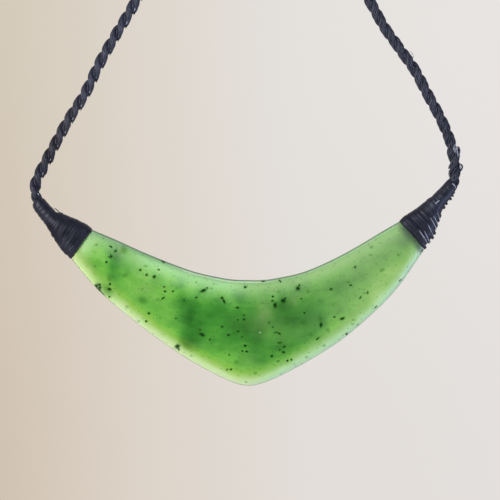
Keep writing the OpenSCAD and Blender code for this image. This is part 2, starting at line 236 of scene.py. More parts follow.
def smooth_rows(rows, steps):
    """A table of vectors with more rows, so many for each one that it had."""
    return [smooth_at(rows, k / steps) for k in range((len(rows) - 1) * steps + 1)]


class Route:
    """The middle line of a cord, measured along its length in millimetres."""

    STEPS = 10
    REACH = 0.3

    def __init__(self, points):
        self.dense = smooth_rows([Vector(p) for p in points], self.STEPS)
        self.runs = [0.0]
        for a, b in zip(self.dense, self.dense[1:]):
            self.runs.append(self.runs[-1] + (b - a).length)
        self.length = self.runs[-1]

    def place(self, s):
        s = max(0.0, min(self.length, s))
        i = min(bisect_right(self.runs, s), len(self.runs) - 1)
        start, end = self.runs[i - 1:i + 1]
        return self.dense[i - 1].lerp(self.dense[i], (s - start) / (end - start))

    def across(self, s):
        h = (self.place(s + self.REACH) - self.place(s - self.REACH)).normalized()
        return Vector((-h.y, h.x))

    def run_at(self, point):
        return self.runs[point * self.STEPS]


LEFT = Route(LEFT_ROUTE_LOW + [(-x, z) for x, z in ROUTE_HIGH])
RIGHT = Route(RIGHT_ROUTE_LOW + ROUTE_HIGH)
# Each end of the blade, with its lashing's sections, its cord's route and its side.
LEFT_END = (LEFT_WRAP_SECTIONS, LEFT, -1)
RIGHT_END = (RIGHT_WRAP_SECTIONS, RIGHT, 1)


def wrap_section(end, f):
    """The lashing's section at place f: table rows first, then the neck's own share beyond them."""
    rows, route, side = end

    def neck(p):
        s = route.run_at(NECK_FROM) + p * (route.run_at(NECK_TO) - route.run_at(NECK_FROM))
        r = NECK_R_START + p * (NECK_R_END - NECK_R_START)
        c, n = route.place(s), side * r * route.across(s)
        return Vector((c.x + n.x, c.y + n.y, c.x - n.x, c.y - n.y, r))
    every = [Vector(r) for r in rows] + [neck(0)]
    last = len(every) - 1
    return smooth_at(every, f) if f <= last else neck(f - last)


FULL_POWER = 3


def wrap_power(end, f):
    """How full the lashing's corners are at place f: full over the blade, and round at the neck."""
    return FULL_POWER - ease(f / len(end[0]))


def super_point(angle, power):
    """A point of a rounded box shape: an ellipse at power 2, with fuller corners above it."""
    c, s = math.cos(angle), math.sin(angle)
    return (math.copysign(abs(c) ** (2 / power), c), math.copysign(abs(s) ** (2 / power), s))


def super_ring(count, power):
    return [super_point(math.tau * j / count, power) for j in range(count)]


def on_section(section, shape_point, inset=0.0):
    """A point of the flat cross cut through the section's two edge points, in millimetres."""
    upper, lower = Vector((section[0], 0, section[1])), Vector((section[2], 0, section[3]))
    half = (upper - lower).length / 2
    return ((upper + lower) / 2 + shape_point[0] * (half - inset) * (upper - lower).normalized()
            + Vector((0, shape_point[1] * (section[4] - inset), 0)))


def hung(point):
    """A point of the pendant's own frame in millimetres, as a place in the row frame in metres."""
    return Vector((point.x, point.y, point.z - HANG_HEIGHT)) * MM


SHARP_ANGLE = math.radians(65)


def loft(rings, marks=None, closed_ends=True):
    """A bmesh skin through rings of equally many points, extruded ring by ring."""
    bm = bmesh.new()
    order = bm.verts.layers.int.new("order")
    layer = bm.verts.layers.float_vector.new("blade_place") if marks else None
    verts = bmesh.ops.create_circle(bm, cap_ends=False, radius=1.0, segments=len(rings[0]))["verts"]
    for j, v in enumerate(verts):
        v[order] = j
    first = edges = list(bm.edges)
    for k, ring in enumerate(rings):
        if k:
            geometry = bmesh.ops.extrude_edge_only(bm, edges=edges)["geom"]
            verts = [g for g in geometry if isinstance(g, bmesh.types.BMVert)]
            edges = [g for g in geometry if isinstance(g, bmesh.types.BMEdge)]
        for v in verts:
            v.co = ring[v[order]]
            if layer is not None:
                v[layer] = marks[k][v[order]]
    if closed_ends:
        bmesh.ops.contextual_create(bm, geom=first)
        bmesh.ops.contextual_create(bm, geom=edges)
    bm.verts.layers.int.remove(order)
    bmesh.ops.recalc_face_normals(bm, faces=bm.faces)
    for face in bm.faces:
        face.smooth = True
    for edge in bm.edges:
        edge.smooth = edge.calc_face_angle(0.0) < SHARP_ANGLE

    def by_points(part):
        numbers = [v.index for v in part.verts]
        return min(numbers) * len(bm.verts) + max(numbers)
    # An extrusion gives its faces in an order that varies, so they are put in the order of their points.
    bm.verts.index_update()
    bm.edges.sort(key=by_points)
    bm.faces.sort(key=by_points)
    return bm


def mesh_from(name, *parts):
    """One mesh from several bmeshes, which are freed."""
    mesh = bpy.data.meshes.new(name)
    whole = bmesh.new()
    for part in parts:
        part.to_mesh(mesh)
        whole.from_mesh(mesh)
        part.free()
    whole.to_mesh(mesh)
    whole.free()
    return mesh


def in_scene(name, data, place=(0, 0, 0)):
    made = bpy.data.objects.new(name, data)
    made.location = place
    bpy.context.scene.collection.objects.link(made)
    return made


def piece(name, mesh, material, slot, *nodes):
    """Puts a finished mesh in the scene in place of its CAD nodes, riding on the row's one body."""
    mesh.materials.clear()
    mesh.materials.append(material)
    made = in_scene(name, mesh)
    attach(made, BODY)
    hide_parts(*nodes)


def fill(node, inputs):
    """Sets a node's inputs, by name or in their order: sockets are linked, and a text is a hex colour."""
    for key, value in inputs.items() if isinstance(inputs, dict) else enumerate(inputs):
        if isinstance(value, bpy.types.NodeSocket):
            node.id_data.links.new(value, node.inputs[key])
        else:
            node.inputs[key].default_value = linear(value) if isinstance(value, str) else value


def add_node(tree, kind, inputs=(), out=0, stops=(), **settings):
    """Adds one node with its settings, values and links, and returns one of its outputs."""
    node = tree.nodes.new("ShaderNode" + kind)
    for key, value in settings.items():
        setattr(node, key, value)
    fill(node, inputs)
    for i, (place, colour) in enumerate(stops):
        elements = node.color_ramp.elements
        stop = elements[i] if i < 2 else elements.new(place)
        stop.position, stop.color = place, linear(colour)
    return node.outputs[out] if node.outputs else None


def material_named(name):
    """A new node material, what adds a node to it, and its Principled shader."""
    material = bpy.data.materials.new(name)
    material.use_nodes = True
    shader = next(n for n in material.node_tree.nodes if n.type == "BSDF_PRINCIPLED")
    return material, partial(add_node, material.node_tree), shader


def pendant_place(add):
    """Object coordinates as millimetres in the pendant's own frame."""
    place = add("TexCoord", out="Object")
    return add("Mapping", {"Vector": place, "Location": (0, 0, HANG_HEIGHT), "Scale": (1 / MM,) * 3},
               vector_type="POINT")


def wander(add, place, size, reach, detail=2.0):
    """The place moved about by a soft noise, so that a pattern's outlines are uneven."""
    cells = add("TexNoise", {"Vector": place, "Scale": 1 / size, "Detail": detail, "Roughness": 0.55},
                "Color")
    centred = add("VectorMath", [cells, (0.5,) * 3], operation="SUBTRACT")
    return add("VectorMath", [centred, (reach,) * 3, place], operation="MULTIPLY_ADD")


# A grain or cloud fades out at this many times its half sizes. A cloud is so deep that it runs through.
GRAIN_REACH, CLOUD_REACH, THROUGH = 2.5, 1.7, 1000.0
GRAIN_SKIN, GRAIN_DEEP = 1.2, 1.4


def under_skin(add, place):
    """The place with y made how far it lies inside GRAIN_SKIN of the blade's middle plane."""
    y = add("Math", [add("SeparateXYZ", [place], "Y")], operation="ABSOLUTE")
    inside = add("MapRange", [y, 0, GRAIN_SKIN, GRAIN_SKIN, 0])
    x, z = (add("SeparateXYZ", [place], axis) for axis in "XZ")
    return add("CombineXYZ", [x, inside, z])


def ball(add, place, x, z, size, tilt, kind):
    """One at this x and z, falling to nothing at the edge of a tilted ball of that size."""
    local = add("Mapping", {"Vector": place, "Location": (x, 0, z), "Scale": size,
                            "Rotation": (0, -math.radians(tilt), 0)}, vector_type="TEXTURE")
    return add("TexGradient", [local], "Fac", gradient_type=kind)


def grain_depth(add, place, grains):
    """One at a grain's centre, falling to nothing at GRAIN_REACH times its own half sizes. No grain
    runs on through the blade's middle."""
    deepest = None
    for row in grains:
        x, z, long, wide, tilt = (*row, 0)[:5]
        size = (long * GRAIN_REACH, GRAIN_DEEP, wide * GRAIN_REACH)
        depth = ball(add, place, x, z, size, tilt, "SPHERICAL")
        deepest = depth if deepest is None else add("Math", [deepest, depth], operation="MAXIMUM")
    return deepest


def cloud_sum(add, place, clouds, start=0.0):
    """A value with every soft cloud added to it. The clouds run right through."""
    total = start
    for row in clouds:
        x, z, wide, tall, strength, tilt = (*row, 0)[:6]
        size = (wide * CLOUD_REACH, THROUGH, tall * CLOUD_REACH)
        cloud = ball(add, place, x, z, size, tilt, "QUADRATIC_SPHERE")
        total = add("Math", [cloud, strength, total], operation="MULTIPLY_ADD")
    return total


# A Mix node's colour sockets go by number, because its sockets of other kinds have the same names.
MIX_UNDER, MIX_OVER, MIX_OUT = 6, 7, 2


def blended(add, under, over, value, low, high, share):
    """One colour over another: its share runs from nothing at the low value to the full share at high."""
    weight = add("MapRange", [value, low, high, 0, share], interpolation_type="SMOOTHSTEP")
    return add("Mix", {"Factor": weight, MIX_UNDER: under, MIX_OVER: over}, MIX_OUT, data_type="RGBA")


def layered(add, under, layers, values, colours):
    """Lays each layer over the last. A layer is the value that it follows, its colour or the name of
    a colour that changes, the value where it starts, the value where it is full, and its full share."""
    for follows, colour, low, high, share in layers:
        under = blended(add, under, colours.get(colour, colour), values[follows], low, high, share)
    return under


# Painted light at the blade's edges, in colours that change along it: the first one, and what is laid over it
# across x.
PAINTED_EDGE_LIGHT = {
    "glow": ("94BC54", ("8CB66C", -6, 14, 1), ("80AA4E", -38, -46, .8)),
    "pale_edge": ("B6CEA3", ("ACD2AA", -3, 10, 1), ("B0CC8C", -38, -46, .8)),
    "rim": ("6E7A58", ("98A68E", -47, -40, 1), ("AEC6AC", -2, 8, 1)),
    "mint": ("90BC86", ("A6D4A2", -39, -27, 1), ("98BE88", -9, 4, 1)),
    "crest": ("98C690", ("D0EECA", -26, -17, 1), ("A2C49A", 0, 9, 1)),
}
# The jade's layers over its clouds: patches, a painted glow beside the left lashing's mouth, the painted
# glow along the two edges, where the blade thins and lets more light through, painted lines of light and
# shade along the rounded edges, the upper one's as a dark line, a pale line and a fainter dark line, and a
# painted shadow under the right lashing's mouth.
JADE_LAYERS = [
    ("milky", "7C9C62", 0, 1, .75), ("across", "A4AE94", 8, 38, .3), ("run", "D2EAC4", 4, 0, .5),
    ("from_lower", "glow", 6.5, 1.8, .9), ("from_lower", "pale_edge", 4.2, .6, .95),
    ("lower_line", "D8F0D0", 1.1, .5, .3), ("lower_line", "rim", .4, .15, .6),
    ("from_upper", "mint", 9, 3, .3), ("from_upper", "mint", 5.6, .9, .8),
    ("green_edge", "74AE4C", 0, .8, .85), ("lit_edge", "BCE0A8", 0, 1, .9),
    ("upper_line", "7FB58B", 1.45, 1.15, .3), ("upper_line", "crest", .95, .75, .75),
    ("upper_line", "5F8C6C", .5, .3, .9), ("shaded", "4A6250", .05, .8, .85),
]
# The grains: soft smudges, a painted glint as a pale spot, a green halo, the dark grain itself and a
# pin-point scatter.
GRAIN_LAYERS = [
    ("smudges", "2A6C18", .25, .9, .5), ("painted_glint", "C4E2B4", .3, .7, .55),
    ("grains", "1E6C0C", .25, .72, .65), ("grains", "grain", .5, .8, 1), ("dust", "2A6428", .1, .03, .5),
]
# Mottling about 4 mm across, a scatter with a grain to every 3 mm, and the polish's faint unevenness.
MOTTLE_SIZE, DUST_SPACING, RIPPLE_SIZE = 4.0, 2.8, 3.0
# Fibres about 1 mm apart, which run along the blade.
FIBRE_SCALE = (0.8, 0.0, 0.16)
MOTTLE_SHARE, FIBRE_SHARE, LEAST_DENSITY = 0.42, 0.26, 0.01
# Where the palest to the darkest green lie on the scale of density.
JADE_STOPS = (0.0, 0.24, 0.45, 0.70, 1.0)
# Light's share that sinks in, and the depth into a grain over which that ends.
SINKS_IN, OPAQUE = 0.8, (0.45, 0.74)
# How the clouds, the edges' bands and the grains' outlines wander: size, reach and detail.
CLOUD_WANDER, EDGE_WANDER, GRAIN_WANDER = (7.0, 4.6, 3.0), (4.0, 2.0, 3.0), (0.34, 0.7, 1.0)


def polished_nephrite(look):
    """Nephrite jade, ground and polished: light sinks in and comes out green, palest where the
    blade thins, over cloudy darker veins and black chromite grains. The glow at the thin edges, lines
    of light and shade along the rounded edges, a glow beside the left lashing and a shadow under the
    right lashing's mouth are painted into its colour."""
    material, add, shader = material_named("polished_nephrite")
    place = pendant_place(add)
    marks = add("Attribute", out="Vector", attribute_name="blade_place")
    adrift = wander(add, place, *CLOUD_WANDER)
    mottle = add("TexNoise", {"Vector": place, "Scale": 1 / MOTTLE_SIZE, "Detail": 5.0, "Roughness": 0.62})
    along = add("Mapping", {"Vector": marks, "Scale": FIBRE_SCALE})
    fibre = add("TexNoise", {"Vector": along, "Scale": 1.0, "Detail": 4.0, "Roughness": 0.6})
    start = add("Math", [mottle, MOTTLE_SHARE, LEAST_DENSITY], operation="MULTIPLY_ADD")
    start = add("Math", [fibre, FIBRE_SHARE, start], operation="MULTIPLY_ADD")
    density = cloud_sum(add, adrift, CLOUDS, start)
    body = add("ValToRGB", [density], stops=zip(
        JADE_STOPS, (look.palest, look.pale, look.middle, look.deep, look.darkest)))

    drift = wander(add, place, *EDGE_WANDER)
    offset = add("VectorMath", [drift, place], operation="SUBTRACT")
    uneven = add("VectorMath", [marks, offset], operation="ADD")
    values = {name: add("SeparateXYZ", [vector], axis) for name, vector, axis in (
        ("across", place, "X"), ("run", marks, "Z"), ("upper_line", marks, "X"), ("lower_line", marks, "Y"),
        ("from_upper", uneven, "X"), ("from_lower", uneven, "Y"))}
    values["milky"] = cloud_sum(add, adrift, MILKY)
    for name, patches in (("green_edge", GREEN_EDGE), ("lit_edge", LIT_EDGE), ("shaded", SHADED)):
        values[name] = cloud_sum(add, place, patches)
    changing = {name: layered(add, first, [("across", *shift) for shift in shifts], values, {})
                for name, (first, *shifts) in PAINTED_EDGE_LIGHT.items()}
    body = layered(add, body, JADE_LAYERS, values, changing)

    ragged = under_skin(add, wander(add, place, *GRAIN_WANDER))
    for name, rows in (("smudges", SMUDGES), ("painted_glint", PAINTED_GLINTS), ("grains", GRAINS)):
        values[name] = grain_depth(add, ragged, rows)
    flat = add("Mapping", {"Vector": place, "Rotation": (math.radians(90), 0, 0)})
    values["dust"] = add("TexVoronoi", {"Vector": flat, "Scale": 1 / DUST_SPACING}, "Distance",
                         voronoi_dimensions="2D")
    body = layered(add, body, GRAIN_LAYERS, values, {"grain": look.grain})

    # A grain is opaque, so light sinks in only beside it.
    clear = add("MapRange", [values["grains"], *OPAQUE, SINKS_IN, 0])
    ripple = add("TexNoise", {"Vector": place, "Scale": 1 / RIPPLE_SIZE, "Detail": 2.0})
    bump = add("Bump", {"Strength": 0.05, "Distance": 0.0002, "Height": ripple})
    fill(shader, {
        "Base Color": body, "Roughness": 0.26, "IOR": 1.61, "Specular IOR Level": 0.3, "Normal": bump,
        "Subsurface Weight": clear, "Subsurface Radius": (0.55, 1.0, 0.32),
        "Subsurface Scale": look.glow_depth})
    return material


# Light from above is painted on the cords: they are paler towards the neck, from the first height to the
# second.
PAINTED_LIGHT_FROM, PAINTED_LIGHT_TO, PAINTED_LIGHT_BY = 32.0, 56.0, 0.16
WEAR_SIZE, LASHING_FIBRE, CORD_FIBRE = 1.6, 0.25, 0.3
CORD_WEAR, PROUD_WEAR, WAX, PROUD_WAX = 0.08, 0.3, 0.5, 0.9
# Where the hollows, the thread and its crests lie on the scale of wear, with the painted light added to it.
THREAD_STOPS = (0.30, 0.55, 0.78)
# Where a layer starts, where it is full, and its full share.
BARE_AND_SHADE_LAYER, YELLOW_LAYER, YELLOWED_WAX = (0.2, 1.0, 0.8), (0.0, 0.6, 0.35), "2E2822"
# The fibres' low and high values with the roughness at each, and the share of wax left on bare thread.
FIBRE_SPREAD, THREAD_GLOSS, BARE_WAX = (0.3, 0.7), (0.38, 0.56), 0.15


def waxed_thread(look, name, grain_size, wear, wax):
    """Black waxed polyester thread, twisted from fine filaments: the wax gives it a blue-grey shine
    on its crests, and it is nearly black between them. More wear leaves more of it pale. Light is
    painted in as paler thread higher up the cords and on the right lashing's upper side, and shade as
    darker thread along the right lashing's mouth."""
    material, add, shader = material_named(name)
    place = pendant_place(add)
    wear_and_painted_light = add("TexNoise", {"Vector": place, "Scale": 1 / WEAR_SIZE, "Detail": 4.0, "Roughness": 0.65})
    height = add("SeparateXYZ", [place], "Z")
    painted_light_above = add("MapRange", [height, PAINTED_LIGHT_FROM, PAINTED_LIGHT_TO, 0, PAINTED_LIGHT_BY])
    # Painted light: paler thread higher up, and in a patch on the right lashing's upper side.
    wear_and_painted_light = cloud_sum(add, place, PAINTED_LIGHT_PATCHES, add("Math", [wear_and_painted_light, painted_light_above], operation="ADD"))
    tint = add("ValToRGB", [wear_and_painted_light], stops=zip(
        [stop - wear for stop in THREAD_STOPS], (look.thread_dark, look.thread, look.thread_worn)))
    # The bare patches darken the thread; along the right lashing's mouth this is painted shade.
    bare_and_shade = cloud_sum(add, place, BARE_AND_SHADE_PATCHES)
    tint = blended(add, tint, look.thread_dark, bare_and_shade, *BARE_AND_SHADE_LAYER)
    tint = blended(add, tint, YELLOWED_WAX, cloud_sum(add, place, YELLOWED), *YELLOW_LAYER)
    fibres = add("TexNoise", {"Vector": place, "Scale": 1 / grain_size, "Detail": 3.0, "Roughness": 0.7})
    gloss = add("MapRange", [fibres, *FIBRE_SPREAD, *THREAD_GLOSS])
    shine = add("MapRange", [bare_and_shade, 0, 1, wax, BARE_WAX * wax])
    bump = add("Bump", {"Strength": 0.3, "Distance": 0.00006, "Height": fibres})
    fill(shader, {
        "Base Color": tint, "Roughness": gloss, "Specular IOR Level": shine, "Specular Tint": "D4DCF6",
        "Sheen Weight": 0.22, "Sheen Roughness": 0.4, "Sheen Tint": "8C92AC", "Normal": bump})
    return material


FLAKE_SIZE, FLAKE_LAYER = 0.5, (0.3, 0.5, 1.0)


def frayed_filament_and_glint(look):
    """Loose polyester filaments with flakes of white wax on them: dull and pale against the thread.
    It is also laid as pale strands where glints and bright gaps fall, as painted highlights.
    """
    material, add, shader = material_named("frayed_filament_and_glint")
    flakes = add("TexNoise", {"Vector": pendant_place(add), "Scale": 1 / FLAKE_SIZE, "Detail": 3.0})
    tint = blended(add, look.thread_worn, look.filament_and_glint, flakes, *FLAKE_LAYER)
    fill(shader, {"Base Color": tint, "Roughness": 0.6})
    return material


# The turning marks' pitch, the scuffs' size, and the stretch beside the barrel's rims that is rubbed.
TURNING_PITCH, SCUFF_SIZE = 0.18, 1.1
RIM_FROM, RIM_TO, RIM_RUBBED = 6.3, 7.4, 0.25
BRIGHT_STEEL, BRIGHT_LAYER = "9A9AA0", (0.62, 0.82, 1.0)
# The turning marks' low and high values with the roughness at each.
TURNED_SPREAD, STEEL_GLOSS = (0.25, 0.75), (0.30, 0.48)


def blackened_steel(look):
    """Steel, turned and chemically blackened: dark satin, with fine turning marks round the barrel
    and brighter metal where the rims have rubbed."""
    material, add, shader = material_named("blackened_steel")
    place = pendant_place(add)
    along = add("SeparateXYZ", [place], "X")
    out = add("Math", [along], operation="ABSOLUTE")
    turned = add("TexNoise", {"W": along, "Scale": 1 / TURNING_PITCH, "Detail": 3.0}, noise_dimensions="1D")
    scuffs = add("TexNoise", {"Vector": place, "Scale": 1 / SCUFF_SIZE, "Detail": 4.0})
    rim = add("MapRange", [out, RIM_FROM, RIM_TO, 0, RIM_RUBBED])
    rubbed = add("Math", [rim, scuffs], operation="ADD")
    tint = blended(add, look.steel, BRIGHT_STEEL, rubbed, *BRIGHT_LAYER)
    gloss = add("MapRange", [turned, *TURNED_SPREAD, *STEEL_GLOSS])
    bump = add("Bump", {"Strength": 0.35, "Distance": 0.00003, "Height": turned})
    fill(shader, {"Base Color": tint, "Metallic": 1.0, "Roughness": gloss, "Normal": bump})
    return material


EDGE_ROUND, CROWN = 2.4, 0.06
EDGE_STEPS, FACE_STEPS, SECTION_STEPS, TONGUE_STEPS = 9, 18, 8, 6


def blade_outline(half):
    """The blade's cross cut as [along, deep] pairs: crowned faces with rounded edges."""
    share = EDGE_ROUND / half

    def depth(p):
        return 1 - CROWN * (1 - math.cos(math.pi / 2 * abs(p)))
    edge = []
    for i in range(EDGE_STEPS + 1):
        a = math.pi / 2 * i / EDGE_STEPS
        edge.append((1 - share * (1 - math.cos(a)), depth(1 - share) * math.sin(a)))
    face = [1 - share - 2 * (1 - share) * i / FACE_STEPS for i in range(1, FACE_STEPS)]
    top = edge + [(p, depth(p)) for p in face] + [(-p, d) for p, d in reversed(edge)]
    return top + [(p, -d) for p, d in reversed(top[1:-1])]


def blade_mesh():
    """The whole blade with the tongue at each end, from the same sections as the frame's. Each point
    keeps its distance from the upper edge, from the lower edge and from the blade's left end."""
    sections = smooth_rows([Vector(r) for r in BLADE_SECTIONS], SECTION_STEPS)
    rings, marks = [], []
    run = 0.0
    for k, section in enumerate(sections):
        half = (Vector(section[0:2]) - Vector(section[2:4])).length / 2
        outline = blade_outline(half)
        if k:
            run += (Vector(section[0:2]) - Vector(sections[k - 1][0:2])).length
        rings.append([hung(on_section(section, p)) for p in outline])
        marks.append([Vector(((1 - p[0]) * half, (1 + p[0]) * half, run)) for p in outline])
    outline = super_ring(len(rings[0]), FULL_POWER)
    for end, shoulder in ((LEFT_END, sections[0]), (RIGHT_END, sections[-1])):
        steps = [Vector((*shoulder[0:4], end[0][0][4]))]
        steps += [wrap_section(end, f / 2) for f in range(TONGUE_STEPS)]
        for section in steps:
            at = 0 if end is LEFT_END else len(rings)
            rings.insert(at, [hung(on_section(section, p, THREAD_WALL + FIT_GAP)) for p in outline])
            marks.insert(at, marks[0] if end is LEFT_END else marks[-1])
    return mesh_from("jade_blade", loft(rings, marks))


def colour_prop(name, what, default):
    return bpy.props.StringProperty(name=name, description="sRGB hex colour of " + what, default=default)


def length_prop(name, what, default, least):
    return bpy.props.FloatProperty(
        name=name, description=what, default=default, min=least, subtype="DISTANCE", unit="LENGTH")


class NecklaceJade(bpy.types.PropertyGroup):
    palest: colour_prop("Palest", "the palest jade", "B4DA8C")
    pale: colour_prop("Pale", "the pale jade", "88C25A")
    middle: colour_prop("Middle", "the middle green", "64AB40")
    deep: colour_prop("Deep", "the deep green", "3E8A2E")
    darkest: colour_prop("Darkest", "the darkest cloud", "1C6618")
    grain: colour_prop("Grain", "the mineral grains", "012C01")
    glow_depth: length_prop("Glow depth", "How far light travels inside the jade", 0.0014, 0.0)


class NecklaceThread(bpy.types.PropertyGroup):
    thread: colour_prop("Thread", "the thread", "181A27")
    thread_dark: colour_prop("Hollows", "the thread's hollows", "0F111A")
    thread_worn: colour_prop("Crests", "the thread's rubbed crests", "2C303F")
    filament_and_glint: colour_prop("Filament", "the loose ends", "8E96AA")
    yarns: bpy.props.IntProperty(
        name="Yarns", description="Yarns on the outside of a ply", default=9, min=6, max=16)
    yarn_radius: length_prop("Yarn radius", "Radius of one yarn", 0.00034, 0.0001)


class NecklaceClasp(bpy.types.PropertyGroup):
    steel: colour_prop("Steel", "the blackened steel", "3A3A3F")


class NecklaceStage(bpy.types.PropertyGroup):
    distance: length_prop("Camera distance", "From the camera to the blade", 0.60, 0.2)
    frame_width: length_prop("Frame width", "Width of the view at the blade", 0.150, 0.05)
    key_power: bpy.props.FloatProperty(
        name="Key power", description="Power of the main soft light", default=14.0, min=0.0, unit="POWER")
    room_light: bpy.props.FloatProperty(
        name="Room light", description="Strength of the even light all round", default=0.62, min=0.0,
        subtype="FACTOR")


class NECKLACE_OT_jade(bpy.types.Operator):
    """Grinds and polishes the jade blade"""
    bl_idname = "necklace.jade"
    bl_label = "Make the Jade"

    def execute(self, context):
        look = context.scene.necklace_jade
        piece("jade_blade", blade_mesh(), polished_nephrite(look), "jade", "jade_pendant")
        return {"FINISHED"}


PER_TURN, THREAD_SIDES = 44, 12
THREAD_HALF, THREAD_OVERLAP, FRAYED_OVERLAP, NECK_OVERLAP, THREAD_POWER = 0.3, 1.8, 0.9, 0.7, 4.5
# Spans round a turn are in radians, and spans along the lashing are in turns.
TOOTH_SPAN, FRAY_SPAN = 0.45, 1.0
MOUTH_TURNS, ROUND_TURNS, DROP_TURNS, OVERLAP_TURNS = 5, 1.5, 2.5, 3
# Each turn has its own slant, height and tooth at the lower edge. The wax levels most of them.
SLANT, DIP, PROUD_TURNS, LEAST_TOOTH = 0.34, (-0.03, 0.02), (0, 0, 0, 0.05), 0.45
# How far the upper and the lower edge are drawn in, at each half row of the sections.
LEFT_DRAWN_IN = [
    (-.15, -.15), (-.15, 0), (.33, 0), (.35, 0), (.4, 0), (.6, 0), (.9, 0), (1.25, -.15), (.35, -.35),
    (.1, -.3), (0, -.3), (0, -.35), (0, -.25),
]
RIGHT_DRAWN_IN = [
    (-.1, .15), (-.1, .1), (.1, .05), (.25, 0), (.3, .1), (.25, .25), (.15, .2), (-.15, .15), (-.3, .1),
    (-.25, -.05), (-.2, -.1), (-.1, -.15), (0, -.1),
]
DRAWN_IN_POWER = 1.5
# Each lashing's habits: the mouth's lean, the teeth's length, and how frayed its two edges are.
LEFT_WINDING = {"lean": .06, "tooth": .14, "upper": .5, "lower": .6, "drawn_in": LEFT_DRAWN_IN, "seed": 4}
RIGHT_WINDING = {"lean": .18, "tooth": .65, "upper": 0, "lower": 1, "drawn_in": RIGHT_DRAWN_IN, "seed": 9}
FIRST_TURN, FRAY_BACK, FRAY_SINK = 0.9, 0.35, 0.6
MOUTH_DROP, NECK_CALM, NECK_ROUND = 0.5, 0.4, 0.35


def winding(end, habit):
    """The lashing's one thread, wound turn beside turn: it steps on to the next turn at the back.
    Where it has teeth, its lower edge is frayed into separate threads that end in points."""
    last, turns = len(end[0]), WIDE_WINDS + NECK_WINDS
    rng = random.Random(habit["seed"])
    habits = [Vector((rng.uniform(-SLANT, SLANT), rng.uniform(*DIP) + rng.choice(PROUD_TURNS),
                      rng.uniform(LEAST_TOOTH, 1) * (t % 2))) for t in range(turns + 1)]
    for turn in range(WIDE_WINDS + 1, turns + 1):
        habits[turn][1] *= NECK_CALM
    hollows = [Vector((*pair, 0)) for pair in habit["drawn_in"]]
    half_rows = len(hollows) - 1

    def crest(turn, angle, inset, drop):
        f = last * turn / WIDE_WINDS if turn <= WIDE_WINDS else last + (turn - WIDE_WINDS) / NECK_WINDS
        f += habit["lean"] * ease((turn - turns) / MOUTH_TURNS + 1) * math.cos(angle)
        edge = math.cos(angle)
        drawn = smooth_at(hollows, clamp01(f / (half_rows / 2)) * half_rows)[0 if edge > 0 else 1]
        hollow = drawn * abs(edge) ** DRAWN_IN_POWER + NECK_ROUND * ease((turn - turns) / ROUND_TURNS + 1)
        section = wrap_section(end, max(0.0, f))
        section[4] -= drop
        return on_section(section, super_point(angle, wrap_power(end, f)), inset + hollow)

    middles = []
    for k in range(turns * PER_TURN + 1):
        turn, part = divmod(k / PER_TURN, 1)
        now, soon = habits[min(int(turn), turns)], habits[min(int(turn) + 1, turns)]
        slant, lift, point = now.lerp(soon, ease(part * 2))
        angle = math.tau * part
        at = (turn - 0.5 + ease(part * 2)
              + slant * math.cos(angle) * clamp01(turn) * clamp01((turns - turn) / 2))
        fray = (habit["lower"] * bell(angle - math.pi, FRAY_SPAN)
                + habit["upper"] * bell(math.pi - abs(angle - math.pi), FRAY_SPAN))
        peak = point * bell(angle - math.pi, TOOTH_SPAN)
        rise = lift * (1 + fray) + habit["tooth"] * (peak - FRAY_SINK * fray)
        middles.append((max(FIRST_TURN - FRAY_BACK * fray, min(turns - 0.5, at)), angle, rise, fray))
    rings = []
    for k, (at, angle, rise, fray) in enumerate(middles):
        # The first turns lie lower, on the blade's shoulder.
        under = (THREAD_HALF - rise, MOUTH_DROP * (1 - ease(at / DROP_TURNS)))
        centre = crest(at, angle, *under)
        step = crest(at + 0.5, angle, *under) - crest(at - 0.5, angle, *under)
        before, after = middles[max(0, k - 1)], middles[min(len(middles) - 1, k + 1)]
        ahead = (crest(after[0], after[1], *under) - crest(before[0], before[1], *under)).normalized()
        width = (step - step.dot(ahead) * ahead).normalized()
        out = ahead.cross(width)
        overlap = THREAD_OVERLAP + NECK_OVERLAP * clamp01((at - WIDE_WINDS) / OVERLAP_TURNS)
        reach = step.length / 2 * (overlap + fray * (FRAYED_OVERLAP - overlap))
        rings.append([hung(centre + width * reach * c + out * THREAD_HALF * s)
                      for c, s in super_ring(THREAD_SIDES, THREAD_POWER)])
    return loft(rings)


# The pipe's walls lie this deep under the winding, and clear of the cord in the neck.
OUTER_WALL, INNER_WALL, NECK_SHARE, CORD_ROOM = 0.62, 1.12, 0.3, 0.2
SLEEVE_SIDES, WIDE_ROWS, NECK_ROWS, SLEEVE_START, SLEEVE_SHORT = 40, 8, 4, 0.12, 0.02


def sleeve(end):
    """The first, hidden layer of thread under the winding, as a plain dark pipe."""
    last = len(end[0])
    places = [last * i / WIDE_ROWS + SLEEVE_START for i in range(WIDE_ROWS)]
    places += [last + i / NECK_ROWS - SLEEVE_SHORT for i in range(NECK_ROWS + 1)]
    rings = []
    for outer, order in ((True, places), (False, places[::-1])):
        for f in order:
            section = wrap_section(end, f)
            inset = OUTER_WALL * (1 - NECK_SHARE * ease(f / last))
            if not outer:
                inset = min(INNER_WALL, section[4] - (PLY_OFFSET + PLY_HALF_R) * NECK_GRIP - CORD_ROOM)
            ring = super_ring(SLEEVE_SIDES, wrap_power(end, f))
            rings.append([hung(on_section(section, p, inset)) for p in ring])
    rings.append(rings[0])
    return loft(rings, closed_ends=False)


